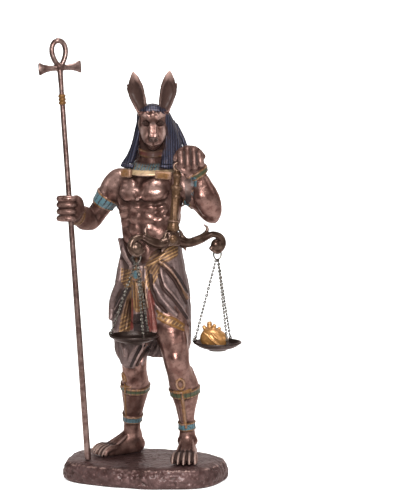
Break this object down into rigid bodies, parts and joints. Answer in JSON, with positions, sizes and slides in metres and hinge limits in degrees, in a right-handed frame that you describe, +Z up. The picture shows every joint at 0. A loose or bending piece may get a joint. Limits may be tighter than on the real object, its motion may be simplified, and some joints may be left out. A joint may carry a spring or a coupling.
{
  "type": "anubis figurine",
  "caption": "Standing jackal-headed Anubis figurine in bronze-painted resin, with an ankh-topped staff and a pair of scales that weigh a golden heart, on a rough oval plinth.",
  "frame": {"origin": "middle of the plinth's flat underside", "axes": "+Z up; the figure faces -Y; +X is towards the figure's left hand, which holds the scales"},
  "size_m": [0.1202, 0.0836, 0.2775],
  "materials": {
    "bronze": "bronze-coloured paint over cast resin, satin, dark in the hollows",
    "dark_bronze": "dark bronze paint over cast resin with gilt touches",
    "chain_metal": "tarnished, satin",
    "gold_paint": "old-gold paint over cast resin"
  },
  "bodies": {
    "root": {"plinth": "bronze", "figure": "bronze", "ankh_staff": "bronze", "scale_beam": "dark_bronze", "empty_pan": "dark_bronze", "empty_pan_ring": "chain_metal", "empty_pan_chain_1": "chain_metal", "empty_pan_chain_2": "chain_metal", "empty_pan_chain_3": "chain_metal", "heart_pan": "dark_bronze", "heart_pan_ring": "chain_metal", "heart_pan_chain_1": "chain_metal", "heart_pan_chain_2": "chain_metal", "heart_pan_chain_3": "chain_metal", "heart": "gold_paint"}
  },
  "joints": []
}
